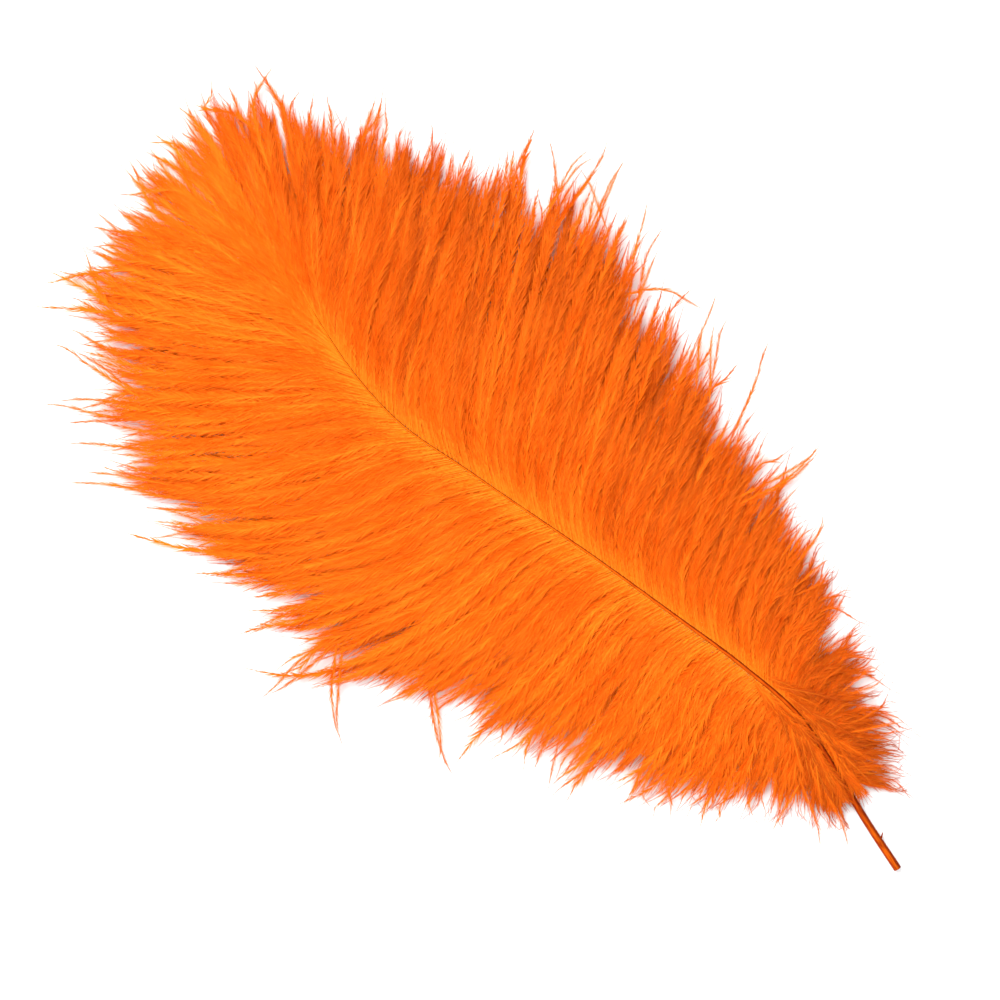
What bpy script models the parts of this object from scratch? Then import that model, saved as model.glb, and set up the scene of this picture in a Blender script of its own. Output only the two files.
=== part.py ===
"""One dyed ostrich feather, lying face up on a flat surface.

The shaft runs along +Y from its cut quill to the tip of the plume. The barbs on each
side of it lie together in pointed locks, and each side is one closed solid with a flat
underside at z = 0. The middle of the feather's box stands over the origin.
"""

import bmesh
import bpy
import numpy as np
from mathutils import Matrix

MM = 0.001

# The feather is drawn from the middle of the quill's cut end, in millimetres.
# Shaft: how far along, how far across, height of its middle and its radius
SHAFT_ROUTE = (
    (0.0, 0.0, 1.4, 1.35),
    (18.0, 4.4, 1.6, 1.25),
    (36.0, 9.5, 2.4, 1.15),
    (60.0, 15.2, 3.9, 1.0),
    (86.0, 14.6, 5.6, 0.86),
    (115.0, 11.4, 7.0, 0.72),
    (145.0, 7.8, 8.0, 0.58),
    (197.0, 0.2, 8.6, 0.4),
    (228.0, -3.9, 8.3, 0.34),
    (252.0, -1.6, 7.5, 0.3),
    (270.0, 2.8, 6.6, 0.28),
    (284.0, 6.6, 5.8, 0.26),
)
SHAFT_PEAK = max(height for _, _, height, _ in SHAFT_ROUTE) * MM
SHAFT_RINGS = 46
SHAFT_ROUNDNESS = 2
SHAFT_END_TAPER = 0.78
DIRECTION_STEP = 0.5

# Barbs: where they leave the shaft, the angle they leave it at, and where their tips lie
LEFT_BARBS = (
    (38.0, 148.0, -1.0, 20.0),
    (50.0, 142.0, -8.0, 30.0),
    (62.0, 134.0, -17.0, 42.0),
    (76.0, 120.0, -31.0, 58.0),
    (90.0, 110.0, -43.0, 76.0),
    (106.0, 102.0, -55.0, 97.0),
    (124.0, 96.0, -67.0, 118.0),
    (145.0, 90.0, -82.0, 151.0),
    (158.0, 85.0, -93.0, 176.0),
    (168.0, 82.0, -103.0, 198.0),
    (178.0, 79.0, -96.0, 220.0),
    (188.0, 76.0, -93.0, 239.0),
    (216.0, 68.0, -92.0, 287.0),
    (240.0, 60.0, -82.0, 317.0),
    (258.0, 50.0, -53.0, 338.0),
    (272.0, 22.0, -12.0, 347.0),
    (283.0, -1.5, 27.0, 350.0),
)
RIGHT_BARBS = (
    (38.0, 146.0, 21.0, 11.0),
    (49.0, 136.0, 33.0, 22.0),
    (58.0, 118.0, 40.0, 38.0),
    (70.0, 94.0, 51.0, 66.0),
    (86.0, 76.0, 65.0, 100.0),
    (124.0, 70.0, 90.0, 146.0),
    (145.0, 72.0, 100.0, 178.0),
    (165.0, 69.0, 105.0, 210.0),
    (178.0, 66.0, 115.0, 231.0),
    (190.0, 64.0, 105.0, 249.0),
    (225.0, 64.0, 91.0, 273.0),
    (252.0, 56.0, 80.0, 293.0),
    (270.0, 42.0, 65.0, 317.0),
    (278.0, 16.0, 45.0, 343.0),
    (283.0, 3.0, 29.5, 350.0),
)

# Locks
LOCKS_A_SIDE = 28
LOCK_COLUMNS = 4
LOCK_ROWS = 9
FIRST_SPLIT_ROWS = (6, 7)
TIP_NARROWING = 0.88
TIP_NARROWING_CURVE = 0.9
TIP_STRETCH = 0.045
TIP_SWING = 0.2
BARB_BEND = 0.5
OUTLINE_SHARE = 0.6
FLOW_STEPS = 400

# Heights
CROWN_RISE = 3.4 * MM
CROWN_CURVE = 0.55
LOCK_RIDGE = 1.2 * MM
LOCK_RIDGE_RANGE = (0.6, 1.4)
LOCK_RIDGE_CURVE = 0.7
TIP_HEIGHT = 1.0 * MM
FALL_CURVE = 0.62
SHAFT_SHOWS = 0.35

# Clearances
SHAFT_GAP = 0.35 * MM
WELD = 0.01 * MM
LEVEL = 0.7
LEFT_SEED = 7
RIGHT_SEED = 8

# Finishes
QUILL_COLOUR = (0.45, 0.07, 0.01)
QUILL_ROUGHNESS = 0.38
BARB_COLOUR = (1.0, 0.16, 0.01)
BARB_ROUGHNESS = 0.75


def clear_scene():
    """Start from an empty scene."""
    for thing in list(bpy.data.objects):
        bpy.data.objects.remove(thing)


def make_collection(name):
    """A collection linked to the scene."""
    collection = bpy.data.collections.new(name)
    bpy.context.scene.collection.children.link(collection)
    return collection


def make_material(name, colour, roughness):
    """A plain dyed keratin surface."""
    material = bpy.data.materials.new(name)
    material.use_nodes = True
    surface = material.node_tree.nodes["Principled BSDF"]
    surface.inputs["Base Color"].default_value = (*colour, 1.0)
    surface.inputs["Roughness"].default_value = roughness
    surface.inputs["Metallic"].default_value = 0.0
    return material


def smooth_read(stations, places):
    """The stations' other columns, read along a smooth curve at places of the first."""
    table = np.array(stations)
    keys = table[:, 0]
    values = table[:, 1:]
    slopes = np.gradient(values, keys, axis=0)
    places = np.clip(places, keys[0], keys[-1])
    start = np.clip(np.searchsorted(keys, places, side="right") - 1, 0, len(keys) - 2)
    step = (keys[start + 1] - keys[start])[:, None]
    t = ((places - keys[start])[:, None]) / step
    rise_in = t * (1 - t) ** 2 * step * slopes[start]
    rise_out = t * t * (t - 1) * step * slopes[start + 1]
    blend = t * t * (3 - 2 * t)
    return values[start] * (1 - blend) + values[start + 1] * blend + rise_in + rise_out


def shaft_points(places):
    """Middle points and radii of the shaft, in metres, at places along it."""
    read = smooth_read(SHAFT_ROUTE, places)
    middles = np.column_stack((read[:, 0], places, read[:, 1])) * MM
    return middles, read[:, 2] * MM


def build_shaft(collection):
    """The quill and shaft: one round tube that tapers from the cut end to the tip."""
    last = SHAFT_ROUTE[-1][0]
    places = np.linspace(0.0, last, SHAFT_RINGS)
    middles, radii = shaft_points(places)
    radii[-1] *= SHAFT_END_TAPER
    curve = bpy.data.curves.new("shaft", "CURVE")
    curve.dimensions = "3D"
    curve.bevel_mode = "ROUND"
    curve.bevel_depth = 1.0
    curve.bevel_resolution = SHAFT_ROUNDNESS
    curve.use_fill_caps = True
    spline = curve.splines.new("POLY")
    spline.points.add(SHAFT_RINGS - 1)
    for point, middle, radius in zip(spline.points, middles, radii):
        point.co = (*middle, 1.0)
        point.radius = radius
    curve.materials.append(make_material("dyed_quill", QUILL_COLOUR, QUILL_ROUGHNESS))
    shaft = bpy.data.objects.new("shaft", curve)
    collection.objects.link(shaft)
    return shaft


class Vane:
    """The flow of the barbs on one side of the shaft, from their roots to their tips."""

    def __init__(self, stations, side):
        self.stations = stations
        self.side = side
        self.places = np.linspace(stations[0][0], stations[-1][0], FLOW_STEPS)
        tips = smooth_read(stations, self.places)[:, 1:]
        moved = np.linalg.norm(np.diff(tips, axis=0), axis=1)
        outline = np.concatenate(([0.0], np.cumsum(moved)))
        rooted = self.places - self.places[0]
        self.shares = outline / outline[-1] * OUTLINE_SHARE
        self.shares += rooted / rooted[-1] * (1 - OUTLINE_SHARE)

    def surface(self, share, out):
        """Points on the top of the vane.

        share runs along the feather from 0 to 1, partly by the shaft and partly by
        the outline, and out from 0 at the shaft to 1 at the barbs' tips.
        """
        places = np.interp(share, self.shares, self.places)
        middles, radii = shaft_points(places)
        ahead, _ = shaft_points(places + DIRECTION_STEP)
        behind, _ = shaft_points(places - DIRECTION_STEP)
        along = (ahead - behind)[:, :2]
        along /= np.linalg.norm(along, axis=1)[:, None]
        across = np.column_stack((along[:, 1], -along[:, 0])) * self.side
        read = smooth_read(self.stations, places)
        lead = np.radians(read[:, 0])[:, None]
        tips = read[:, 1:] * MM
        roots = middles[:, :2] + across * (radii + SHAFT_GAP)[:, None]
        span = np.linalg.norm(tips - roots, axis=1)[:, None]
        heading = along * np.cos(lead) + across * np.sin(lead)
        bends = roots + heading * span * BARB_BEND
        out = out[:, None]
        plan = roots * (1 - out) ** 2 + bends * 2 * out * (1 - out) + tips * out**2
        return plan, self.height(middles[:, 2] + radii * SHAFT_SHOWS, out[:, 0])

    def height(self, root_height, out):
        """Height of the top: up to a crown beside the shaft, then down to the tips."""
        capped = np.clip(out, 0.0, 1.0)
        fall = TIP_HEIGHT + (root_height - TIP_HEIGHT) * (1 - capped**FALL_CURVE)
        loft = root_height / (SHAFT_PEAK + TIP_HEIGHT)
        return fall + CROWN_RISE * loft * np.sin(np.pi * capped**CROWN_CURVE)


def lock_grid(mesh, vane, number, splits, stretch, swing, ridge):
    """One lock: a grid bent along the barbs, drawn in to a point at its tip."""
    made = bmesh.ops.create_grid(
        mesh, x_segments=LOCK_COLUMNS, y_segments=LOCK_ROWS, size=0.5
    )
    verts = made["verts"]
    phase = np.array([vert.co.x for vert in verts]) + 0.5
    out = np.array([vert.co.y for vert in verts]) + 0.5
    split_low, split_high = splits[number] / LOCK_ROWS, splits[number + 1] / LOCK_ROWS
    split = np.where(phase < 0.5, split_low, split_high)
    parted = np.clip((out - split) / (1 - split), 0.0, 1.0)
    free = max(split_low, split_high)
    loose = np.clip((out - free) / (1 - free), 0.0, 1.0)
    narrowed = 1 - TIP_NARROWING * parted**TIP_NARROWING_CURVE
    drawn = 0.5 + (phase - 0.5) * narrowed + swing * loose
    reach = out + loose * stretch
    plan, height = vane.surface((number + drawn) / LOCKS_A_SIDE, reach)
    along = np.sin(np.pi * out**LOCK_RIDGE_CURVE)
    height = height + ridge * np.sin(np.pi * phase) * along
    for vert, (x, y), z in zip(verts, plan, height):
        vert.co = (x, y, max(z, TIP_HEIGHT))


def close_below(mesh):
    """Give the sheet its walls and one flat underside at z = 0."""
    top = list(mesh.faces)
    made = bmesh.ops.extrude_face_region(mesh, geom=top)
    below = [item for item in made["geom"] if isinstance(item, bmesh.types.BMVert)]
    for vert in below:
        vert.co.z = 0.0
    mesh.normal_update()
    inner = [
        edge
        for edge in mesh.edges
        if all(vert.co.z == 0.0 for vert in edge.verts)
        and all(abs(face.normal.z) > LEVEL for face in edge.link_faces)
    ]
    bmesh.ops.dissolve_edges(mesh, edges=inner, use_verts=False)
    bmesh.ops.recalc_face_normals(mesh, faces=list(mesh.faces))


def build_vane(name, stations, side, seed, material, collection):
    """One side's barbs as a single solid of fused locks."""
    chance = np.random.default_rng(seed)
    vane = Vane(stations, side)
    splits = chance.integers(FIRST_SPLIT_ROWS[0], FIRST_SPLIT_ROWS[1] + 1, LOCKS_A_SIDE + 1)
    stretches = chance.uniform(-TIP_STRETCH, TIP_STRETCH, LOCKS_A_SIDE)
    swings = chance.uniform(-TIP_SWING, TIP_SWING, LOCKS_A_SIDE)
    swings[[0, -1]] = 0.0
    ridges = LOCK_RIDGE * chance.uniform(*LOCK_RIDGE_RANGE, LOCKS_A_SIDE)
    mesh = bmesh.new()
    for number in range(LOCKS_A_SIDE):
        shape = stretches[number], swings[number], ridges[number]
        lock_grid(mesh, vane, number, splits, *shape)
    bmesh.ops.remove_doubles(mesh, verts=list(mesh.verts), dist=WELD)
    close_below(mesh)
    data = bpy.data.meshes.new(name)
    mesh.to_mesh(data)
    mesh.free()
    data.materials.append(material)
    body = bpy.data.objects.new(name, data)
    collection.objects.link(body)
    return body


def centre_over_origin(pieces, collection):
    """Hang the pieces from one empty, moved so that their box stands over the origin."""
    bpy.context.view_layer.update()
    graph = bpy.context.evaluated_depsgraph_get()
    corners = []
    for piece in pieces:
        shown = piece.evaluated_get(graph)
        shape = shown.to_mesh()
        corners += [piece.matrix_world @ vert.co for vert in shape.vertices]
        shown.to_mesh_clear()
    corners = np.array(corners)
    low, high = corners.min(axis=0), corners.max(axis=0)
    middle = (low + high) / 2
    feather = bpy.data.objects.new("feather", None)
    collection.objects.link(feather)
    for piece in pieces:
        piece.parent = feather
    feather.matrix_world = Matrix.Translation((-middle[0], -middle[1], -low[2]))


def main():
    clear_scene()
    collection = make_collection("ostrich_feather")
    barbs = make_material("dyed_barbs", BARB_COLOUR, BARB_ROUGHNESS)
    shaft = build_shaft(collection)
    left = build_vane("left_vane", LEFT_BARBS, -1, LEFT_SEED, barbs, collection)
    right = build_vane("right_vane", RIGHT_BARBS, 1, RIGHT_SEED, barbs, collection)
    centre_over_origin([shaft, left, right], collection)


main()
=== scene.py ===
import math

import bpy
import numpy as np
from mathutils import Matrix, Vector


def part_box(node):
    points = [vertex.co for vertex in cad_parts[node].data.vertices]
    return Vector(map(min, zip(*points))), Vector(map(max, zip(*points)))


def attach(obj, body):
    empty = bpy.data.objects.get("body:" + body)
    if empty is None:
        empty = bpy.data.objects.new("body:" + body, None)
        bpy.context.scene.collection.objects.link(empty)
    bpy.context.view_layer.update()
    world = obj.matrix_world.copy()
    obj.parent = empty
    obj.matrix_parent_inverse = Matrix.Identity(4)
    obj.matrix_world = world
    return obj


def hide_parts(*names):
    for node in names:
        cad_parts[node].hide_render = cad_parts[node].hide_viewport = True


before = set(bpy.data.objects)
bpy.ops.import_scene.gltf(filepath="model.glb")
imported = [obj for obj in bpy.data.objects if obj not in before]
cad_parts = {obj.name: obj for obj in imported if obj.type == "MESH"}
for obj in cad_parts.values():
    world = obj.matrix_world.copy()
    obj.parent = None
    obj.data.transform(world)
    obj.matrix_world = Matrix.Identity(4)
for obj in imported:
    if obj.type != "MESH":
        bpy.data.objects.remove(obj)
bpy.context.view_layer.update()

bpy.ops.object.select_all(action="DESELECT")


# The view. The feather lies on a white table and is looked at from straight
# above, with the quill at the lower right and the plume's tip at the upper left.
MM = 0.001
# The low corner of the shaft's box, seen from the middle of the quill's cut end
QUILL_LOW = np.array((-4.233, -0.315)) * MM
box_low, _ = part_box("shaft")
cut_end = np.array((box_low[0], box_low[1])) - QUILL_LOW

VIEW_MIDDLE = np.array((0.07, 184.0)) * MM
VIEW_TURN = -47.19
LENS = 85.0
SENSOR = 36.0
VIEW_WIDTH = 340.0 * MM
VIEW_NEAR, VIEW_FAR = 0.05, 20.0
eye = cut_end + VIEW_MIDDLE
view_height = VIEW_WIDTH * LENS / SENSOR
bpy.ops.object.camera_add(
    location=(eye[0], eye[1], view_height), rotation=(0.0, 0.0, math.radians(VIEW_TURN))
)
camera = bpy.context.object
camera.data.lens = LENS
camera.data.sensor_width = SENSOR
camera.data.clip_start = VIEW_NEAR
camera.data.clip_end = VIEW_FAR
bpy.context.scene.camera = camera
bpy.context.scene.view_settings.view_transform = "Standard"


# The table: a wide board with white matt paint. Its soft light comes from all
# round, with one large soft box high up beyond the plume's tip.
def linear(code):
    """A colour's hex code as linear red, green and blue."""
    parts = [int(code[at : at + 2], 16) / 255 for at in (1, 3, 5)]
    low = 0.04045
    return [c / 12.92 if c <= low else ((c + 0.055) / 1.055) ** 2.4 for c in parts]


def new_material(name):
    """A material with no nodes yet, and its tree."""
    made = bpy.data.materials.new(name)
    made.use_nodes = True
    made.node_tree.nodes.clear()
    return made, made.node_tree


def add(tree, kind, settings=None, stops=None, **links):
    """A node with its settings, a ramp's colour stops, and links or values for inputs."""
    node = tree.nodes.new("ShaderNode" + kind)
    for key, value in (settings or {}).items():
        setattr(node, key, value)
    if stops:
        marks = node.color_ramp.elements
        marks[0].position = stops[0][0]
        marks[1].position = stops[-1][0]
        for at, _ in stops[1:-1]:
            marks.new(at)
        for mark, (_, code) in zip(marks, stops):
            mark.color = (*linear(code), 1.0)
    for key, value in links.items():
        number = key[1:]
        socket = node.inputs[int(number) if number.isdigit() else key.replace("_", " ")]
        if isinstance(value, bpy.types.NodeSocket):
            tree.links.new(value, socket)
        elif isinstance(value, str):
            socket.default_value = (*linear(value), 1.0)
        else:
            socket.default_value = value
    return node


FLOOR_SIZE = 12.0
bpy.ops.mesh.primitive_plane_add(size=FLOOR_SIZE, location=(0.0, 0.0, 0.0))
floor = bpy.context.object
floor.name = "floor"
paint, tree = new_material("matt_white_paint")
shader = add(tree, "BsdfPrincipled", Base_Color="#F7F7F7", Roughness=0.9)
add(tree, "OutputMaterial", Surface=shader.outputs[0])
floor.data.materials.append(paint)

ROOM_LIGHT = 1.12
world = bpy.data.worlds.new("room")
world.use_nodes = True
air = world.node_tree.nodes["Background"]
air.inputs["Color"].default_value = (*linear("#FFFFFF"), 1.0)
air.inputs["Strength"].default_value = ROOM_LIGHT
bpy.context.scene.world = world

SOFT_BOX = (0.15, 1.1, 1.25)
SOFT_BOX_SIZE = 0.9
SOFT_BOX_POWER = 27.0
bpy.ops.object.light_add(type="AREA", location=SOFT_BOX)
soft_box = bpy.context.object
soft_box.data.size = SOFT_BOX_SIZE
soft_box.data.energy = SOFT_BOX_POWER
aim = math.atan2(math.hypot(SOFT_BOX[0], SOFT_BOX[1]), SOFT_BOX[2])
soft_box.rotation_euler = (-aim, 0.0, -math.atan2(SOFT_BOX[0], SOFT_BOX[1]))


# The shaft: one length of dyed keratin, a bare round quill at the foot, cut off
# square and hollow, that tapers into a fine rib with a groove along its underside.
# Along the feather from the cut end, to the right, height and radius, in millimetres
SHAFT_ROUTE = (
    (0.0, 0.0, 1.4, 1.35),
    (18.0, 4.4, 1.6, 1.25),
    (36.0, 9.5, 2.4, 1.15),
    (60.0, 15.2, 3.9, 1.0),
    (86.0, 14.6, 5.6, 0.86),
    (115.0, 11.4, 7.0, 0.72),
    (145.0, 7.8, 8.0, 0.58),
    (197.0, 0.2, 8.6, 0.4),
    (228.0, -3.9, 8.3, 0.34),
    (252.0, -1.6, 7.5, 0.3),
    (270.0, 2.8, 6.6, 0.28),
    (284.0, 6.6, 5.8, 0.26),
)
SHAFT_PEAK = max(height for _, _, height, _ in SHAFT_ROUTE) * MM
SHAFT_END = SHAFT_ROUTE[-1][0]
SHAFT_RINGS = 96
SHAFT_SIDES = 20
SHAFT_POINT = 0.4
QUILL_WALL = 0.42 * MM
QUILL_HOLLOW = 3.0 * MM
QUILL_EDGE = 0.12 * MM
STUB_PLACE = 11.6
STUB_SIDES = 8
STUB_RADIUS = 0.38 * MM
STUB_POINT = 0.4
STUB_LENGTH = 1.9 * MM
STUB_OUT = 0.35
STUB_LEAN = 25
GROOVE_START, GROOVE_FULL = 30.0, 60.0
GROOVE_EDGE = 0.82
GROOVE_DEPTH = 0.35
EDGE_ANGLE = 50


def smooth_read(stations, places):
    """The stations' other columns, read along a smooth curve at places of the first."""
    stations = np.array(stations, dtype=float)
    keys = stations[:, 0]
    values = stations[:, 1:]
    slopes = np.gradient(values, keys, axis=0)
    places = np.clip(places, keys[0], keys[-1])
    start = np.clip(np.searchsorted(keys, places, side="right") - 1, 0, len(keys) - 2)
    step = (keys[start + 1] - keys[start])[:, None]
    t = ((places - keys[start])[:, None]) / step
    rise_in = t * (1 - t) ** 2 * step * slopes[start]
    rise_out = t * t * (t - 1) * step * slopes[start + 1]
    blend = t * t * (3 - 2 * t)
    return values[start] * (1 - blend) + values[start + 1] * blend + rise_in + rise_out


def shaft_points(places):
    """Middle points and radii of the shaft, in metres, at places along it."""
    read = smooth_read(SHAFT_ROUTE, places)
    middles = np.column_stack((read[:, 0] * MM, places * MM, read[:, 1] * MM))
    middles[:, :2] += cut_end
    return middles, read[:, 2] * MM


def ease(values, start, end):
    """0 before start, 1 after end, and a smooth step between."""
    t = np.clip((values - start) / (end - start), 0.0, 1.0)
    return t * t * (3 - 2 * t)


rings = np.linspace(0.0, SHAFT_END, SHAFT_RINGS)
middles, radii = shaft_points(rings)
radii[-1] *= SHAFT_POINT
ahead = np.gradient(middles, axis=0)
leans = np.arctan2(ahead[:, 0], ahead[:, 1])
bpy.ops.mesh.primitive_circle_add(
    vertices=SHAFT_SIDES,
    radius=radii[0],
    fill_type="NGON",
    location=middles[0],
    rotation=(math.pi / 2, 0.0, -leans[0]),
)
shaft = bpy.context.object
shaft.name = "feather_shaft"
bpy.ops.object.transform_apply(location=True, rotation=True, scale=True)
bpy.ops.object.mode_set(mode="EDIT")
bpy.ops.mesh.select_all(action="SELECT")
for ring in range(1, SHAFT_RINGS):
    step = middles[ring] - middles[ring - 1]
    bpy.ops.mesh.extrude_region_move(TRANSFORM_OT_translate={"value": tuple(step)})
    here = tuple(middles[ring])
    grow = radii[ring] / radii[ring - 1]
    bpy.ops.transform.resize(value=(grow, grow, grow), center_override=here)
    turn = leans[ring] - leans[ring - 1]
    bpy.ops.transform.rotate(value=turn, orient_axis="Z", center_override=here)
bpy.ops.mesh.select_all(action="SELECT")
bpy.ops.mesh.normals_make_consistent(inside=False)
bpy.ops.mesh.select_all(action="DESELECT")
bpy.ops.object.mode_set(mode="OBJECT")

# The cut end is a wall with the empty tube of the quill inside it
caps = [face for face in shaft.data.polygons if len(face.vertices) == SHAFT_SIDES]
foot = min(caps, key=lambda face: face.center[1])
foot.select = True
inward = -foot.normal.copy() * QUILL_HOLLOW
bpy.ops.object.mode_set(mode="EDIT")
bpy.ops.mesh.select_mode(type="FACE")
bpy.ops.mesh.inset(thickness=QUILL_EDGE)
bpy.ops.transform.translate(value=tuple(-inward * QUILL_EDGE / QUILL_HOLLOW))
bpy.ops.mesh.inset(thickness=QUILL_WALL)
bpy.ops.mesh.extrude_region_move(TRANSFORM_OT_translate={"value": tuple(inward)})
bpy.ops.object.mode_set(mode="OBJECT")

# One stripped barb has left a short stub on the quill's right side
middle, radius = shaft_points(np.array((STUB_PLACE,)))
bpy.ops.mesh.primitive_cone_add(
    vertices=STUB_SIDES,
    radius1=STUB_RADIUS,
    radius2=STUB_RADIUS * STUB_POINT,
    depth=STUB_LENGTH,
    location=(middle[0, 0] + radius[0] + STUB_LENGTH * STUB_OUT, middle[0, 1], middle[0, 2]),
    rotation=(0.0, math.pi / 2, math.radians(STUB_LEAN)),
)
stub = bpy.context.object
bpy.ops.object.select_all(action="DESELECT")
stub.select_set(True)
shaft.select_set(True)
bpy.context.view_layer.objects.active = shaft
bpy.ops.object.join()

# The underside is pressed in to a groove from where the barbs start
for vert in shaft.data.vertices:
    place = (vert.co[1] - cut_end[1]) / MM
    ring = np.argmin(np.abs(middles[:, 1] - vert.co[1]))
    below = (middles[ring, 2] - vert.co[2]) / radii[ring]
    deep = ease(place, GROOVE_START, GROOVE_FULL) * ease(below, GROOVE_EDGE, 1.0)
    vert.co[2] += GROOVE_DEPTH * radii[ring] * deep

# The colours are read by the way round the shaft and the way along it
shaft_places = shaft.data.uv_layers.new(name="OFBake")
spot = {}
for vert in shaft.data.vertices:
    offset = np.array(vert.co) - middles
    ring = np.argmin((offset**2).sum(axis=1))
    aside = offset[ring, 0] * math.cos(leans[ring]) - offset[ring, 1] * math.sin(leans[ring])
    around = math.atan2(aside, offset[ring, 2]) / (2 * math.pi) + 0.5
    spot[vert.index] = (around, ring / (SHAFT_RINGS - 1))
for face in shaft.data.polygons:
    turns = [spot[corner][0] for corner in face.vertices]
    seam = max(turns) - min(turns) > 0.5
    for loop, corner in zip(face.loop_indices, face.vertices):
        around, along = spot[corner]
        if seam and around < 0.5:
            around = 1.0
        shaft_places.data[loop].uv = (around, along)
bpy.ops.object.shade_smooth_by_angle(angle=math.radians(EDGE_ANGLE))

# Dyed keratin: a brownish orange quill, then an orange rib, all with a fine short grain,
# its width and length given in millimetres at the quill. Painted shade lies over the dye:
# dark red-brown on the quill where the foot's down lies over it, and round the shaft a dark
# shadow line down its upper right side, a thinner one on its upper left, shade underneath
# and a lighter streak low on its left side.
GRAIN_WIDTH = 0.3534
GRAIN_LENGTH = 4.057
QUILL_ROUND = 2 * math.pi * SHAFT_ROUTE[0][3]
keratin, tree = new_material("dyed_keratin")
uv = add(tree, "UVMap", {"uv_map": "OFBake"})
place = add(tree, "SeparateXYZ", Vector=uv.outputs[0])
# Dye along the shaft, with painted shade from 0.09 to 0.13 where the foot's down lies over
# the quill
DYE_AND_PAINTED_SHADE_ALONG_SHAFT = (
    (0.0, "#D05A0A"),
    (0.05, "#CC5808"),
    (0.09, "#BC4604"),
    (0.13, "#A83402"),
    (0.2, "#D05408"),
    (0.4, "#E4600A"),
    (0.8, "#FF7C0E"),
    (1.0, "#FF8A12"),
)
# Painted shade and a lighter streak round the shaft, multiplied over the dye; 0.5 is the top
PAINTED_SHADE_AROUND_SHAFT = (
    (0.0, "#A07050"),
    (0.3, "#E0A070"),
    (0.36, "#B87048"),
    (0.42, "#FFFFFF"),
    (0.52, "#FFFFFF"),
    (0.58, "#782C14"),
    (0.68, "#8C4428"),
    (1.0, "#A07050"),
)
GRAIN_SHADES = ((0.34, "#B08060"), (0.56, "#FFFFFF"))
MULTIPLY = {"data_type": "RGBA", "blend_type": "MULTIPLY"}
along = add(tree, "ValToRGB", stops=DYE_AND_PAINTED_SHADE_ALONG_SHAFT, Fac=place.outputs["Y"])
around = add(tree, "ValToRGB", stops=PAINTED_SHADE_AROUND_SHAFT, Fac=place.outputs["X"])
grains = (QUILL_ROUND / GRAIN_WIDTH, SHAFT_END / GRAIN_LENGTH, 1.0)
grain = add(tree, "Mapping", Vector=uv.outputs[0], Scale=grains)
grain = add(tree, "TexNoise", Vector=grain.outputs[0], Scale=1.0, Detail=4.0, Roughness=0.6)
streaks = add(tree, "ValToRGB", stops=GRAIN_SHADES, Fac=grain.outputs["Fac"])
# How strongly the painted shade round the shaft is laid on, a little less on the quill
painted_shade_strength = add(
    tree,
    "MapRange",
    Value=place.outputs["Y"],
    From_Min=0.06,
    From_Max=0.16,
    To_Min=0.75,
    To_Max=0.9,
)
dye_with_painted_shade = add(
    tree,
    "Mix",
    MULTIPLY,
    _0=painted_shade_strength.outputs[0],
    _6=along.outputs[0],
    _7=around.outputs[0],
)
dye_grain_and_painted_shade = add(tree, "Mix", MULTIPLY, _0=1.0, _6=dye_with_painted_shade.outputs[2], _7=streaks.outputs[0])
bump = add(tree, "Bump", Height=grain.outputs["Fac"], Strength=0.35, Distance=0.05 * MM)
shader = add(
    tree,
    "BsdfPrincipled",
    Base_Color=dye_grain_and_painted_shade.outputs[2],
    Roughness=0.5,
    Specular_IOR_Level=0.03,
    Normal=bump.outputs[0],
)
add(tree, "OutputMaterial", Surface=shader.outputs[0])
shaft.data.materials.append(keratin)
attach(shaft, "root")
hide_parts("shaft")


# The vanes: soft barbs of dyed keratin that leave both sides of the shaft and hang
# together in pointed locks, each a thin thread with loose barbules on both sides. They
# are meshes worked out in arrays, because no operator makes hairs that follow a flow.
# Where a barb leaves the shaft, the angle it starts at in degrees, and the place of
# its tip, to the right and along from the cut end, in millimetres
LEFT_BARBS = (
    (38.0, 148.0, -1.0, 20.0),
    (50.0, 142.0, -8.0, 30.0),
    (62.0, 134.0, -17.0, 42.0),
    (76.0, 120.0, -31.0, 58.0),
    (90.0, 110.0, -43.0, 76.0),
    (106.0, 102.0, -55.0, 97.0),
    (124.0, 96.0, -67.0, 118.0),
    (145.0, 90.0, -82.0, 151.0),
    (158.0, 85.0, -93.0, 176.0),
    (168.0, 82.0, -103.0, 198.0),
    (178.0, 79.0, -96.0, 220.0),
    (188.0, 76.0, -93.0, 239.0),
    (216.0, 68.0, -92.0, 287.0),
    (240.0, 60.0, -82.0, 317.0),
    (258.0, 50.0, -53.0, 338.0),
    (272.0, 22.0, -12.0, 347.0),
    (283.0, -1.5, 27.0, 350.0),
)
RIGHT_BARBS = (
    (38.0, 146.0, 21.0, 11.0),
    (49.0, 136.0, 33.0, 22.0),
    (58.0, 118.0, 40.0, 38.0),
    (70.0, 94.0, 51.0, 66.0),
    (86.0, 76.0, 65.0, 100.0),
    (124.0, 70.0, 90.0, 146.0),
    (145.0, 72.0, 100.0, 178.0),
    (165.0, 69.0, 105.0, 210.0),
    (178.0, 66.0, 115.0, 231.0),
    (190.0, 64.0, 105.0, 249.0),
    (225.0, 64.0, 91.0, 273.0),
    (252.0, 56.0, 80.0, 293.0),
    (270.0, 42.0, 65.0, 317.0),
    (278.0, 16.0, 45.0, 343.0),
    (283.0, 3.0, 29.5, 350.0),
)
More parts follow.
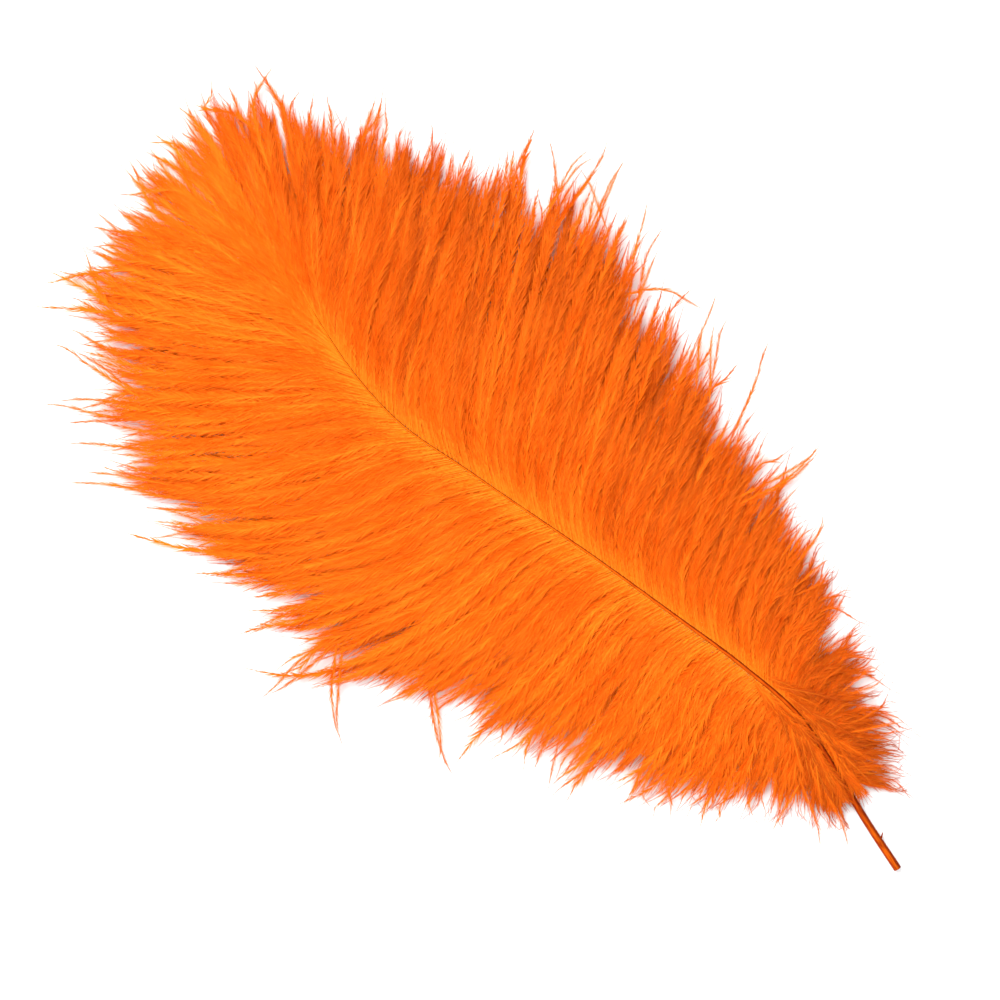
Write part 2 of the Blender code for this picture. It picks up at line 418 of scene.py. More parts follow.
# How far out of a barb's full length the dense body of the vane ends, along the vane
LEFT_BODY = (
    (0.0, 0.97), (0.06, 0.95), (0.12, 0.88), (0.18, 0.86), (0.24, 0.86), (0.3, 0.83),
    (0.36, 0.8), (0.42, 0.78), (0.48, 0.77), (0.54, 0.81), (0.6, 0.85), (0.66, 0.81),
    (0.7, 0.85), (0.76, 0.81), (0.8, 0.75), (0.84, 0.86), (0.88, 0.93), (0.93, 0.96),
    (1.0, 1.0),
)
RIGHT_BODY = (
    (0.0, 0.82), (0.05, 0.82), (0.09, 0.93), (0.13, 1.02), (0.18, 1.0), (0.22, 0.95),
    (0.26, 0.87), (0.32, 0.84), (0.38, 0.76), (0.44, 0.82), (0.5, 0.81), (0.54, 0.77),
    (0.6, 0.8), (0.66, 0.81), (0.72, 0.84), (0.78, 0.83), (0.84, 0.84), (0.88, 0.86),
    (0.93, 0.9), (1.0, 0.98),
)
FLOW_STEPS = 400
OUTLINE_SHARE = 0.6
ROOT_SIDE = 0.85
BARB_BEND = 0.5
CROWN_RISE = 3.4 * MM
TIP_HEIGHT = 1.0 * MM
FALL_CURVE = 0.62
CROWN_CURVE = 0.55
SHAFT_SHOWS = 0.35
ROOT_SET_BACK = 7.0
LOWEST_ROOT = 34.0
ROOT_SWEEP = 20.0 * MM
DIRECTION_STEP = 0.5


class Vane:
    """The flow of the barbs on one side of the shaft, from their roots to their tips."""

    def __init__(self, stations, side):
        self.stations = stations
        self.side = side
        self.places = np.linspace(stations[0][0], stations[-1][0], FLOW_STEPS)
        tips = smooth_read(stations, self.places)[:, 1:]
        moved = np.linalg.norm(np.diff(tips, axis=0), axis=1)
        outline = np.concatenate(([0.0], np.cumsum(moved)))
        rooted = self.places - self.places[0]
        self.shares = outline / outline[-1] * OUTLINE_SHARE
        self.shares += rooted / rooted[-1] * (1 - OUTLINE_SHARE)

    def surface(self, share, out):
        """The vane's place over the floor, its top, its root's height and its width.

        share runs along the feather from 0 to 1, and out from the shaft to the tips.
        """
        places = np.interp(share, self.shares, self.places)
        middles, radii = shaft_points(places)
        ahead, _ = shaft_points(places + DIRECTION_STEP)
        behind, _ = shaft_points(places - DIRECTION_STEP)
        along = (ahead - behind)[:, :2]
        along /= np.linalg.norm(along, axis=1)[:, None]
        across = np.column_stack((along[:, 1], -along[:, 0])) * self.side
        read = smooth_read(self.stations, places)
        lead = np.radians(read[:, 0])[:, None]
        tips = read[:, 1:] * MM + cut_end
        roots = middles[:, :2] + across * (radii * ROOT_SIDE)[:, None]
        span = np.linalg.norm(tips - roots, axis=1)[:, None]
        heading = along * np.cos(lead) + across * np.sin(lead)
        bends = roots + heading * span * BARB_BEND
        out = out[:, None]
        plan = roots * (1 - out) ** 2 + bends * 2 * out * (1 - out) + tips * out**2
        back, _ = shaft_points(np.maximum(places - ROOT_SET_BACK, LOWEST_ROOT))
        fade = np.clip(1 - out * span / ROOT_SWEEP, 0.0, 1.0) ** 2
        plan += (back - middles)[:, :2] * fade
        root_height = middles[:, 2] + radii * SHAFT_SHOWS
        return plan, self.height(root_height, out[:, 0]), root_height, span[:, 0]

    def height(self, root_height, out):
        """Height of the top: up to a crown beside the shaft, then down to the tips."""
        capped = np.clip(out, 0.0, 1.0)
        fall = TIP_HEIGHT + (root_height - TIP_HEIGHT) * (1 - capped**FALL_CURVE)
        loft = root_height / (SHAFT_PEAK + TIP_HEIGHT)
        return fall + CROWN_RISE * loft * np.sin(np.pi * capped**CROWN_CURVE)


TUBE_STEPS = 14
TUBE_SIDES = 3
# A thread's radius in millimetres, what it loses to the tip, and what its root adds
THREAD_RADIUS = 0.1
THREAD_THINNING = 0.035
ROOT_RADIUS = 0.05
ROOT_SHARE = 0.12
# Points of the thread under a barbule's foot, and how its size, lean and roll change
BARBULE_BASE = 3
END_BASE = 2
END_BASE_REACH = 20 * MM
ROOT_BARBULE = 0.25
ROOT_TAPER = 0.6
BARE_END = 2 * MM
BARE_BARBULE = 0.04
END_SLANT = 0.8
END_SLANT_REACH = 24 * MM
BARB_ROLL = 0.25
BARBULE_ROLL = 0.6
TWIST = 0.35
TWIST_TURNS = (1.0, 3.0)
SLANT_RANGE = (0.3, 1.8)
SIZE_RANGE = (0.6, 1.15)
SHADE_RANGE = 0.05
# Places up the UV map, from root to tip, that tell the thread from the barbules
THREAD_PLACES = (0.02, 0.11)
BARBULE_PLACES = (0.14, 0.98)
# A face's corners in the UV map, so close together that it has nearly one colour
FACE_SPOT = ((-0.004, -0.002), (0.004, -0.002), (0.0, 0.004))
FLOOR_GAP = 0.15 * MM


def hair_mesh(name, routes, shades, chance, length, slant, taper, fade):
    """Barbs along routes, as one mesh: a thread each, and barbules on both its sides.

    length is a full barbule's, slant the angle that it leaves the thread at, for all or
    for each barb, taper how far from the thread's end they begin to shorten, and fade
    the change of shade to the tip.
    """
    count, points, _ = routes.shape
    t = np.linspace(0.0, 1.0, points)
    grown = np.arange(1, points - BARBULE_BASE)
    steps = len(grown)
    t_mid = t[grown]
    ahead = np.gradient(routes, axis=1)
    ahead /= np.linalg.norm(ahead, axis=2)[:, :, None]
    flat = np.stack((ahead[:, :, 1], -ahead[:, :, 0], np.zeros((count, points))), axis=2)
    flat /= np.maximum(np.linalg.norm(flat, axis=2), 1e-6)[:, :, None]
    lift = np.cross(flat, ahead)
    spans = np.linalg.norm(np.diff(routes, axis=1), axis=2).sum(axis=1)

    verts = [routes.reshape(-1, 3)]
    faces = []
    places = []
    roots = np.arange(count)[:, None] * points + grown[None, :] - 1
    wide = np.full((count, steps), BARBULE_BASE)
    gone = t_mid[None, :] * spans[:, None]
    left = (1 - t_mid)[None, :] * spans[:, None]
    wide[left < END_BASE_REACH] = END_BASE
    shape = ROOT_BARBULE + (1 - ROOT_BARBULE) * ease(gone, 0.0, ROOT_TAPER * taper)
    shape = shape * (BARE_BARBULE + (1 - BARE_BARBULE) * ease(left, BARE_END, taper))
    sweep = slant * (END_SLANT + (1 - END_SLANT) * ease(left, 0.0, END_SLANT_REACH))
    roll_base = chance.uniform(-BARB_ROLL, BARB_ROLL, (count, 1))
    wave = chance.uniform(*TWIST_TURNS, (count, 1)) * t_mid[None, :]
    twist = TWIST * np.sin(2 * np.pi * (wave + chance.uniform(0, 1, (count, 1))))
    start = count * points
    triangle = np.array(FACE_SPOT)
    for side in (-1, 1):
        roll = chance.uniform(-BARBULE_ROLL, BARBULE_ROLL, (count, steps))
        roll = roll_base + twist + roll
        away = side * flat[:, grown] * np.cos(roll)[:, :, None]
        away = away + lift[:, grown] * np.sin(roll)[:, :, None]
        angle = sweep * chance.uniform(*SLANT_RANGE, (count, steps))
        size = length * shape * chance.uniform(*SIZE_RANGE, (count, steps))
        way = ahead[:, grown] * np.cos(angle)[:, :, None]
        way = way + away * np.sin(angle)[:, :, None]
        ends = routes[:, grown] + way * size[:, :, None]
        verts.append(ends.reshape(-1, 3))
        tips = start + np.arange(count * steps).reshape(count, steps)
        start += count * steps
        faces.append(np.stack((roots, roots + wide, tips), axis=2).reshape(-1, 3))
        shade = chance.uniform(-SHADE_RANGE, SHADE_RANGE, (count, steps))
        shade = np.clip(shades[:, None] + fade * t_mid + shade, 0.02, 0.98)
        place = np.interp(np.broadcast_to(t_mid, (count, steps)), (0.0, 1.0), BARBULE_PLACES)
        corner = np.stack((shade, place), axis=2)
        places.append((corner[:, :, None, :] + triangle).reshape(-1, 3, 2))

    picks = np.linspace(0, points - 1, TUBE_STEPS + 1).round().astype(int)
    girth = THREAD_RADIUS - THREAD_THINNING * t[picks]
    girth = girth + ROOT_RADIUS * np.clip(1 - t[picks] / ROOT_SHARE, 0.0, 1.0)
    girth = girth[None, :, None] * MM
    tube = []
    for turn in np.arange(TUBE_SIDES) * 2 * np.pi / TUBE_SIDES:
        rim = flat[:, picks] * np.cos(turn) + lift[:, picks] * np.sin(turn)
        tube.append(routes[:, picks] + rim * girth)
    tube = np.stack(tube, axis=2)
    verts.append(tube.reshape(-1, 3))
    number = start + np.arange(tube[..., 0].size).reshape(tube.shape[:3])
    after = np.roll(number, -1, axis=2)
    a, b, c, d = number[:, :-1], after[:, :-1], after[:, 1:], number[:, 1:]
    faces.append(np.stack((a, b, c), axis=-1).reshape(-1, 3))
    faces.append(np.stack((a, c, d), axis=-1).reshape(-1, 3))
    place = np.interp(t[picks[:-1]], (0.0, 1.0), THREAD_PLACES)
    corner = np.broadcast_arrays(shades[:, None, None], place[None, :, None])
    corner = np.repeat(np.stack(corner, axis=-1), TUBE_SIDES, axis=2).reshape(-1, 1, 2)
    places += [corner + triangle, corner + triangle]

    verts = np.concatenate(verts)
    verts[:, 2] = np.maximum(verts[:, 2], FLOOR_GAP)
    faces = np.concatenate(faces)
    places = np.concatenate(places)
    hairs = 2 * count * steps
    one, two, three = (verts[faces[:hairs, k]] for k in range(3))
    down = np.cross(two - one, three - one)[:, 2] < 0
    faces[:hairs][down] = faces[:hairs][down][:, ::-1]
    places[:hairs][down] = places[:hairs][down][:, ::-1]
    mesh = bpy.data.meshes.new(name)
    mesh.from_pydata(verts, [], faces)
    layer = mesh.uv_layers.new(name="OFBake")
    layer.uv.foreach_set("vector", np.clip(places, 0.0, 1.0).astype(np.float32).ravel())
    mesh.update()
    made = bpy.data.objects.new(name, mesh)
    bpy.context.scene.collection.objects.link(made)
    return made


BUNCH_UNEVEN = 0.4
DRAWN_CURVE = 1.3


class Bunches:
    """Barbs shared out to bunches that lie side by side, with chances of each bunch's own."""

    def __init__(self, shares, count, chance):
        shift = chance.uniform(-BUNCH_UNEVEN, BUNCH_UNEVEN, count + 1)
        marks = (np.arange(count + 1) + shift) / count
        marks[0], marks[-1] = 0.0, 1.0
        own = np.clip(np.searchsorted(marks, shares, side="right") - 1, 0, count - 1)
        own = own[:, None]
        self.middle = (marks[own] + marks[own + 1]) / 2
        self.luck = chance.uniform(0.0, 1.0, count)[own]
        self.reach = chance.uniform(-1.0, 1.0, count)[own]
        self.drift = chance.normal(0.0, 1.0, count)[own]
        self.lift = chance.normal(0.0, 1.0, count)[own]


def drawn_in(x, middle, along, start, narrow):
    """Barbs drawn together from start on, to a point at the end of along."""
    parted = np.clip((along - start) / (1 - start), 0.0, 1.0) ** DRAWN_CURVE
    return middle + (x - middle) * (1 - narrow * parted)


# Numbers of bunches on one side, and how many barbs or tufts are of each kind
STRANDS = (78, 57)
TUFTS = 290
WISPS = 0.09
SHORT_TUFTS = 0.26
BED = 0.42
STRAYING = 0.15
# How far out barbs end, and how much that differs, as shares of the body's depth
PAST_BODY = 1.08
STRAND_ENDS = 0.06
TUFT_ENDS = 0.015
BARB_ENDS = 0.1
SHORT_ENDS = 0.02
SHORT_REACH = (0.5, 0.94)
WISP_REACH = (1.0, 1.16)
BED_REACH = (0.82, 0.96)
FARTHEST = 1.12
# Where bunches begin to draw in to a point, and how much narrower they get
SHORT_PARTS, SHORT_NARROWS = 0.5, 0.85
TUFT_PARTS, TUFT_NARROWS = (0.84, 0.94), 0.5
STRAND_PARTS, STRAND_NARROWS = (0.76, 0.93), (0.92, 0.47)
TIP_SHARES = (0.84, 0.95)
# Moves along the feather, in widths of a strand
CROSSING = 0.4
WAVES = ((0.6, 1.6, 0.2), (2.0, 4.5, 0.06))
STRAND_DRIFT, STRAND_LEAN = 0.08, 0.35
TUFT_DRIFT, TUFT_LEAN = 0.1, 0.15
STRAY_SWING = 0.7
WISP_BEND = 1.4
# Layers, 0 at the floor and 1 at the top of the vane, and heights
LAYERS_UNDER = 0.92
LAYER_LIMITS = (0.06, 1.05)
SHORT_LAYER = 0.98
BED_LAYERS = (0.45, 0.97)
STRAND_LAYERS = 0.025
LAYERS_PART = 16 * MM
FLOOR_LAYER = 0.3 * MM
ROOT_HEIGHTS = (-0.35, 0.3)
CURL = (-0.5, 2.0)
WISP_CURL = 1.5
SHORT_LIFT = 0.5 * MM
WAVE_LIFT = 0.25 * MM
TUFT_LIFT = 0.2 * MM
# Lighter and darker shades by strand and by tuft, and painted light by layer: the lower a
# barb lies, the lighter it is painted, against the shade down there
STRAND_TONE, TUFT_TONE, LAYER_PAINTED_LIGHT = 0.036, 0.024, 0.28


def lay_barbs(vane, body, shares, points, chance):
    """Routes of barbs over one vane, drawn together in tufts and pointed strands."""
    count = len(shares)
    t = np.linspace(0.0, 1.0, points)[None, :]
    first, second = (Bunches(shares, number, chance) for number in STRANDS)
    in_first = chance.uniform(0, 1, (count, 1)) < 0.5
    strand = Bunches(shares, TUFTS, chance)
    for word in vars(strand):
        setattr(strand, word, np.where(in_first, getattr(first, word), getattr(second, word)))
    tuft = Bunches(shares, TUFTS, chance)

    # Most barbs end with their strand, some tufts end well inside, wisps stand out, and
    # a loose bed of barbs lies under them all
    full = np.interp(shares, *np.array(body).T)[:, None]
    full = full * (PAST_BODY + STRAND_ENDS * strand.reach + TUFT_ENDS * tuft.reach)
    reach = 1 - BARB_ENDS * chance.uniform(0, 1, (count, 1)) ** 1.8
    short = tuft.luck < SHORT_TUFTS
    inside = np.interp(tuft.luck, (0.0, SHORT_TUFTS), SHORT_REACH)
    inside = inside + chance.uniform(-SHORT_ENDS, SHORT_ENDS, (count, 1))
    reach = np.where(short, inside, reach)
    wisp = (chance.uniform(0, 1, (count, 1)) < WISPS) & ~short
    reach = np.where(wisp, chance.uniform(*WISP_REACH, (count, 1)), reach)
    bed = (chance.uniform(0, 1, (count, 1)) < BED) & ~short & ~wisp
    reach = np.where(bed, chance.uniform(*BED_REACH, (count, 1)), reach)
    out = t * np.minimum(reach * full, FARTHEST)

    # Barbs cross a little, strands wander over their neighbours, and the tips part
    width = 1 / STRANDS[0]
    x = chance.normal(0.0, CROSSING, (count, 1)) * width * ease(out, 0.05, 0.6)
    x = shares[:, None] + x
    for low, high, size in WAVES:
        wave = chance.uniform(low, high, (count, 1)) * out + chance.uniform(0, 1, (count, 1))
        x = x + size * width * np.sin(2 * np.pi * wave) * ease(out, 0.05, 0.4)
    x = np.where(short, drawn_in(x, tuft.middle, t, SHORT_PARTS, SHORT_NARROWS), x)
    parts = np.interp(tuft.luck, (0.0, 1.0), TUFT_PARTS)
    x = drawn_in(x, tuft.middle, out / full, parts, TUFT_NARROWS)
    loose = x
    parts = np.interp(strand.luck, (0.0, 1.0), STRAND_PARTS)
    narrow = np.interp(ease(shares[:, None], *TIP_SHARES), (0.0, 1.0), STRAND_NARROWS)
    x = drawn_in(x, strand.middle, out / full, parts, narrow)
    x = x + STRAND_DRIFT * width * strand.drift * ease(out, 0.1, 0.7)
    x = x + STRAND_LEAN * width * strand.reach * ease(out, 0.6, 1.0)
    x = np.where(bed, loose, x)
    x = x + TUFT_DRIFT * width * tuft.drift * ease(out, 0.15, 0.8)
    x = x + TUFT_LEAN * width * tuft.reach * ease(out, 0.8, 1.0)
    stray = chance.normal(0.0, 1.0, (count, 1))
    stray = stray * (chance.uniform(0, 1, (count, 1)) < STRAYING)
    x = x + STRAY_SWING * width * stray * ease(out, 0.5, 1.05) ** 2
    bent = np.where(wisp, chance.normal(0.0, WISP_BEND, (count, 1)), 0.0)
    x = x + bent * width * ease(out, 0.6, 1.15) ** 2
    place = 1 - np.abs(1 - np.abs(x))
    read = vane.surface(place.ravel(), out.ravel())
    plan = read[0].reshape(count, points, 2)
    top, root_height, span = (part.reshape(count, points) for part in read[1:])

    # Barbs lie in layers, from just over the floor up to the top of the vane
    layer = 1 - LAYERS_UNDER * chance.uniform(0, 1, (count, 1)) ** 3
    layer = np.clip(layer + STRAND_LAYERS * strand.lift, *LAYER_LIMITS)
    layer = np.where(short, np.maximum(layer, SHORT_LAYER), layer)
    layer = np.where(bed, chance.uniform(*BED_LAYERS, (count, 1)), layer)
    away = ease(out * span, 0.0, LAYERS_PART)
    root = root_height + chance.uniform(*ROOT_HEIGHTS, (count, 1)) * MM
    height = root * (1 - away) + (FLOOR_LAYER + (top - FLOOR_LAYER) * layer) * away
    curl = chance.uniform(*CURL, (count, 1)) + np.where(wisp, WISP_CURL, 0.0)
    height = height + curl * MM * ease(out, 0.6, 1.1)
    height = height + np.where(short, SHORT_LIFT, 0.0) * ease(t, 0.4, 1.0)
    wave = chance.uniform(1.0, 3.0, (count, 1)) * out + chance.uniform(0, 1, (count, 1))
    height = height + WAVE_LIFT * np.sin(2 * np.pi * wave) * ease(out, 0.1, 0.5)
    height = height + TUFT_LIFT * tuft.lift * ease(out, 0.1, 0.4)
    routes = np.concatenate((plan, height[:, :, None]), axis=2)
    # Deeper barbs are painted lighter: painted light against the shade in the lower layers
    tone_and_painted_light = STRAND_TONE * strand.lift + TUFT_TONE * tuft.lift + LAYER_PAINTED_LIGHT * (1 - layer)
    return routes, tone_and_painted_light[:, 0], bed


# Dyed down: strong orange keratin hairs, matt, with a little light through them. They
# are deep or light from barb to barb, partly at random and partly as painted shade and
# painted light set where they are laid, lightest by the shaft and dark at the bare ends.
# A mottle is about a tenth of a barb long, 8 to 12 mm, and differs from barb to barb.
MOTTLES = (60.0, 12.0, 1.0)
MOTTLE_SHIFT = 0.22
THREAD_SHEEN = 0.5
LIGHT_THROUGH = 0.17
DYE_SHADES = (
    (0.0, "#C04C00"),
    (0.2, "#E06200"),
    (0.36, "#F06E03"),
    (0.52, "#FC7707"),
    (0.7, "#FF820C"),
    (1.0, "#FF961A"),
)
MIX = {"data_type": "RGBA", "blend_type": "MIX"}
down, tree = new_material("dyed_feather_barbs")
uv = add(tree, "UVMap", {"uv_map": "OFBake"})
place = add(tree, "SeparateXYZ", Vector=uv.outputs[0])
mottle = add(tree, "Mapping", Vector=uv.outputs[0], Scale=MOTTLES)
mottle = add(tree, "TexNoise", Vector=mottle.outputs[0], Scale=1.0, Detail=2.0, Roughness=0.6)
shift = add(
    tree,
    "Math",
    {"operation": "MULTIPLY_ADD"},
    _0=mottle.outputs["Fac"],
    _1=MOTTLE_SHIFT,
    _2=-MOTTLE_SHIFT / 2,
)
shade = add(tree, "Math", {"operation": "ADD"}, _0=place.outputs["X"], _1=shift.outputs[0])
dye = add(tree, "ValToRGB", stops=DYE_SHADES, Fac=shade.outputs[0])
root = add(
    tree,
    "MapRange",
    Value=place.outputs["Y"],
    From_Min=0.14,
    From_Max=0.19,
    To_Min=0.3,
    To_Max=0.0,
)
near = add(tree, "Mix", MIX, _0=root.outputs[0], _6=dye.outputs[0], _7="#FF9010")
end = add(
    tree,
    "MapRange",
    Value=place.outputs["Y"],
    From_Min=0.07,
    From_Max=0.11,
    To_Min=0.0,
    To_Max=1.0,
)
border = (THREAD_PLACES[1] + BARBULE_PLACES[0]) / 2
thread = add(tree, "Math", {"operation": "LESS_THAN"}, _0=place.outputs["Y"], _1=border)
sheen = add(tree, "Math", {"operation": "MULTIPLY"}, _0=thread.outputs[0], _1=THREAD_SHEEN)
near = add(tree, "Mix", MIX, _0=sheen.outputs[0], _6=near.outputs[2], _7="#FF9C22")
thread = add(tree, "Math", {"operation": "MULTIPLY"}, _0=end.outputs[0], _1=thread.outputs[0])
tint = add(tree, "Mix", MULTIPLY, _0=thread.outputs[0], _6=near.outputs[2], _7="#A85020")
shader = add(
    tree,
    "BsdfPrincipled",
    Base_Color=tint.outputs[2],
    Roughness=0.7,
    Specular_IOR_Level=0.15,
)
glow = add(tree, "BsdfTranslucent", Color=tint.outputs[2])
both = add(tree, "MixShader", _0=LIGHT_THROUGH, _1=shader.outputs[0], _2=glow.outputs[0])
add(tree, "OutputMaterial", Surface=both.outputs[0])

BARBS_A_PART = 250
PARTS = (("foot", 0.0, 120), ("lower", 0.25, 180), ("upper", 0.5, 225), ("tip", 0.75, 235))
BARBULE_LENGTH = 6.2 * MM
BARBULE_TAPER = 18 * MM
BARBULE_SLANT = math.radians(13)
BED_SLANT = math.radians(15)
BARB_SHADES = 0.07
# Painted shade: barbs are darker towards the foot, over the first FOOT_SHARE of the vane
VANE_FOOT_PAINTED_SHADE = 0.18
FOOT_SHARE = 0.28
# The right vane's barbs are set darker than the left's and grow darker towards their tips,
# painted shade; the left's grow a little lighter towards their tips.
for word, stations, body, side, tint, fade, seed in (
    ("left", LEFT_BARBS, LEFT_BODY, -1, 0.52, 0.04, 107),
    ("right", RIGHT_BARBS, RIGHT_BODY, 1, 0.4, -0.2, 108),
):
    vane = Vane(stations, side)
    chance = np.random.default_rng(seed)
    for part, start, points in PARTS:
        spread = (np.arange(BARBS_A_PART) + chance.uniform(0, 1, BARBS_A_PART)) / BARBS_A_PART
        shares = start + spread / len(PARTS)
        routes, tone_and_painted_light, bed = lay_barbs(vane, body, shares, points, chance)
        shades = tint + tone_and_painted_light - VANE_FOOT_PAINTED_SHADE * (1 - ease(shares, 0.0, FOOT_SHARE))
        shades = np.clip(shades + chance.normal(0.0, BARB_SHADES, len(shares)), 0.03, 0.97)
        name = f"{word}_barbs_{part}"
        slants = np.where(bed, BED_SLANT, BARBULE_SLANT)
        sizes = BARBULE_LENGTH, slants, BARBULE_TAPER, fade
        piece = hair_mesh(name, routes, shades, chance, *sizes)
        piece.data.materials.append(down)
        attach(piece, "root")
        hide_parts(f"{word}_vane")


# Loose barbs: single hairs and small tufts that stand out from the edges of the
# vanes and bend their own way. They are of the same dyed down. Their points lie to
# the right and along from the cut end, in millimetres.
LEFT_STRAYS = (
    ((-56, 292), (-58, 301), (-61, 317), (-63, 329), (-66, 333)),
    ((-54, 292), (-57, 301), (-59, 317), (-62, 328)),
    ((-59, 292), (-68, 299), (-77, 314), (-80, 318), (-84, 321)),
    ((-58, 293), (-64, 302), (-72, 312), (-80, 319)),
    ((-67, 296), (-78, 307), (-84, 312)),
    ((-67, 280), (-75, 292), (-83, 302), (-88, 307)),
    ((-75, 274), (-82, 285), (-91, 297)),
    ((-78, 271), (-87, 286), (-93, 293), (-98, 298)),
    ((-75, 256), (-80, 266), (-86, 273)),
    ((-73, 251), (-85, 258), (-92, 264)),
    ((-74, 194), (-87, 197), (-98, 197), (-107, 198)),
    ((-73, 192), (-86, 193), (-97, 195), (-104, 198)),
    ((-78, 188), (-86, 182), (-93, 174), (-98, 165)),
    ((-77, 186), (-85, 180), (-93, 173), (-97, 167)),
    ((-63, 158), (-72, 147), (-78, 136), (-80, 129)),
    ((-63, 156), (-71, 146), (-76, 141), (-82, 138)),
    ((-48, 113), (-55, 109), (-63, 104)),
    ((-33, 84), (-40, 81), (-42, 73)),
    ((-7, 43), (-16, 41), (-23, 39)),
    ((-3, 40), (-8, 30), (-15, 22)),
    ((1, 32), (-2, 24), (-8, 15)),
    ((0, 344), (1, 353), (1, 357)),
    ((-4, 343), (-3, 348), (-2, 351)),
    ((-21, 345), (-21, 352), (-20, 355)),
    ((-54, 320), (-56, 329), (-59, 333)),
    ((-35, 327), (-34, 337), (-36, 342)),
    ((-44, 172), (-56, 178.5), (-68, 183.5), (-79, 187)),
    ((-45, 174), (-57, 180.5), (-69, 185.5), (-82, 189)),
    ((-43, 171), (-55, 177), (-67, 182), (-76, 184.5)),
)
RIGHT_STRAYS = (
    ((90, 241), (97, 249), (103, 258)),
    ((89, 240), (100, 243), (111, 242)),
    ((90, 240), (102, 241), (110, 238)),
    ((87, 234), (101, 236), (110, 238), (117, 242)),
    ((97, 227), (106, 230), (112, 231), (117, 232)),
    ((97, 226), (105, 229), (111, 231), (114, 232)),
    ((96, 228), (99, 234), (101, 242)),
    ((84, 204), (93, 208), (103, 213), (111, 218)),
    ((85, 202), (92, 207), (100, 209), (104, 209)),
    ((85, 198), (95, 204), (104, 206), (109, 207)),
    ((85, 197), (92, 200), (101, 203)),
    ((78, 201), (86, 196), (91, 190), (93, 182), (95, 174)),
    ((78, 178), (82, 181), (90, 185)),
    ((78, 165), (87, 172), (95, 175), (104, 179)),
    ((85, 163), (93, 168), (101, 170)),
    ((80, 161), (88, 168), (96, 173)),
    ((75, 143), (89, 148), (97, 152), (105, 155)),
    ((61, 121), (69, 118), (78, 117), (85, 117), (91, 118)),
    ((61, 120), (69, 117), (78, 116), (85, 116), (88, 117)),
    ((62, 123), (70, 120), (77, 118), (84, 117), (89, 119)),
    ((64, 113), (71, 113), (76, 113)),
    ((56, 96), (64, 97), (69, 99), (73, 103)),
    ((58, 96), (65, 97), (69, 98), (72, 101)),
    ((57, 102), (63, 103), (67, 104)),
    ((53, 90), (60, 89), (64, 87)),
    ((51, 86), (56, 84), (60, 83)),
    ((35, 51), (41, 48), (45, 48), (48, 49)),
    ((38, 54), (44, 53), (45, 49), (45, 46)),
    ((32, 43), (38, 41), (42, 39)),
    ((28, 40), (35, 35), (40, 31)),
    ((26, 38), (30, 32), (30, 27)),
    ((24, 298), (31, 311), (39, 322), (46, 332)),
    ((25, 300), (30, 309), (37, 320), (43, 331)),
    ((26, 298), (33, 310), (41, 321), (49, 331)),
)
STRAY_POINTS = 160
STRAY_START = 10.0
STRAY_HEIGHT = 3.6
STRAY_ENDS = (2.0, 4.5)
STRAY_SHADES = (0.25, 0.6)
STRAY_BARBULES = 4.4 * MM
STRAY_SLANT = math.radians(11)
STRAY_TAPER = 14 * MM
chance = np.random.default_rng(31)
for word, strays in (("left", LEFT_STRAYS), ("right", RIGHT_STRAYS)):
    routes = []
    for stray in strays:
        seen = np.array(stray, dtype=float)
        back = (seen[0] - seen[1]) / np.linalg.norm(seen[0] - seen[1])
        path = np.vstack((seen[0] + back * STRAY_START, seen))
        moved = np.linalg.norm(np.diff(path, axis=0), axis=1)
        keys = np.concatenate(([0.0], np.cumsum(moved)))
        rise = (STRAY_HEIGHT, chance.uniform(*STRAY_ENDS))
        rise = np.interp(keys, (0.0, keys[-1]), rise)
        stations = np.column_stack((keys, path, rise))
        route = smooth_read(stations, np.linspace(0.0, keys[-1], STRAY_POINTS)) * MM
        route[:, :2] += cut_end
        routes.append(route)
    routes = np.array(routes)
    shades = chance.uniform(*STRAY_SHADES, len(strays))
    sizes = STRAY_BARBULES, STRAY_SLANT, STRAY_TAPER, 0.0
    piece = hair_mesh(f"{word}_strays", routes, shades, chance, *sizes)
    piece.data.materials.append(down)
    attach(piece, "root")
    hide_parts(f"{word}_vane")


# The down at the foot: soft barbs that grow out of the sides of the shaft above the
# quill and fall back over it to both sides. They are of the same dyed down, set darker
# than the vanes and darker to their tips: painted shade.
FOOT_BARBS = 180
FOOT_POINTS = 60
FOOT_STARTS = (36.0, 82.0)
FOOT_CROWDING = 1.3
FOOT_LENGTHS = (16.0, 34.0)
FOOT_ENDS = (21.0, 28.0)
FOOT_SPREAD = (-0.12, 0.5)
FOOT_ROOT_SIDE = 0.7
FOOT_STEP = 8.0
FOOT_RISE = (-0.2, 1.6)
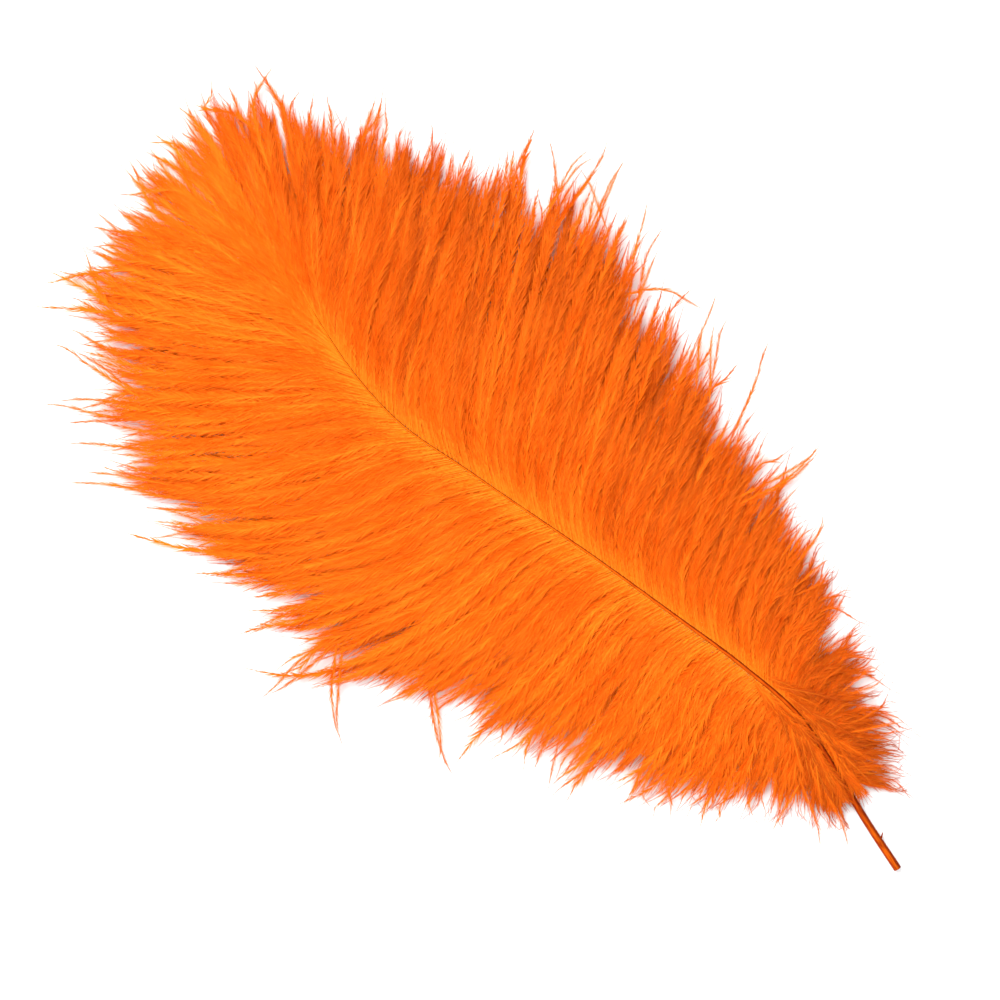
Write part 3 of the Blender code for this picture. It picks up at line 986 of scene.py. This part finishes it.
# Darker shades than the vanes', darkening to the tips: painted shade
FOOT_SHADES = (0.15, 0.5)
FOOT_BARBULES = 4.6 * MM
FOOT_SLANT = math.radians(14)
FOOT_TAPER = 7 * MM
FOOT_PAINTED_FADE = -0.2
chance = np.random.default_rng(53)
starts = chance.uniform(0.0, 1.0, FOOT_BARBS) ** FOOT_CROWDING
starts = FOOT_STARTS[0] + (FOOT_STARTS[1] - FOOT_STARTS[0]) * starts
lengths = chance.uniform(*FOOT_LENGTHS, FOOT_BARBS)
lengths = np.minimum(lengths, starts - chance.uniform(*FOOT_ENDS, FOOT_BARBS))
middles, radii = shaft_points(starts)
behind, _ = shaft_points(starts - FOOT_STEP)
back = (behind - middles)[:, :2]
back /= np.linalg.norm(back, axis=1)[:, None]
sides = chance.choice((-1.0, 1.0), FOOT_BARBS)[:, None]
across = np.column_stack((-back[:, 1], back[:, 0])) * sides
spread = chance.uniform(*FOOT_SPREAD, FOOT_BARBS)[:, None]
roots = middles[:, :2] + across * (radii * FOOT_ROOT_SIDE)[:, None]
length = lengths[:, None] * MM
bends = roots + back * length * 0.45 + across * length * (0.16 + 0.2 * spread)
ends = roots + back * length * (0.96 - 0.2 * spread) + across * length * spread
t = np.linspace(0.0, 1.0, FOOT_POINTS)[None, :, None]
plan = roots[:, None] * (1 - t) ** 2 + bends[:, None] * 2 * t * (1 - t)
plan = plan + ends[:, None] * t**2
passed = starts[:, None] - t[0, :, 0] * lengths[:, None]
under, _ = shaft_points(passed.ravel())
under = under[:, 2].reshape(FOOT_BARBS, FOOT_POINTS)
rise = chance.uniform(*FOOT_RISE, (FOOT_BARBS, 1)) * MM * ease(t[0, :, 0], 0.0, 0.4)
height = under + 0.5 * radii[:, None] + rise
routes = np.concatenate((plan, height[:, :, None]), axis=2)
shades = chance.uniform(*FOOT_SHADES, FOOT_BARBS)
sizes = FOOT_BARBULES, FOOT_SLANT, FOOT_TAPER, FOOT_PAINTED_FADE
piece = hair_mesh("foot_down", routes, shades, chance, *sizes)
piece.data.materials.append(down)
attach(piece, "root")
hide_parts("left_vane", "right_vane")
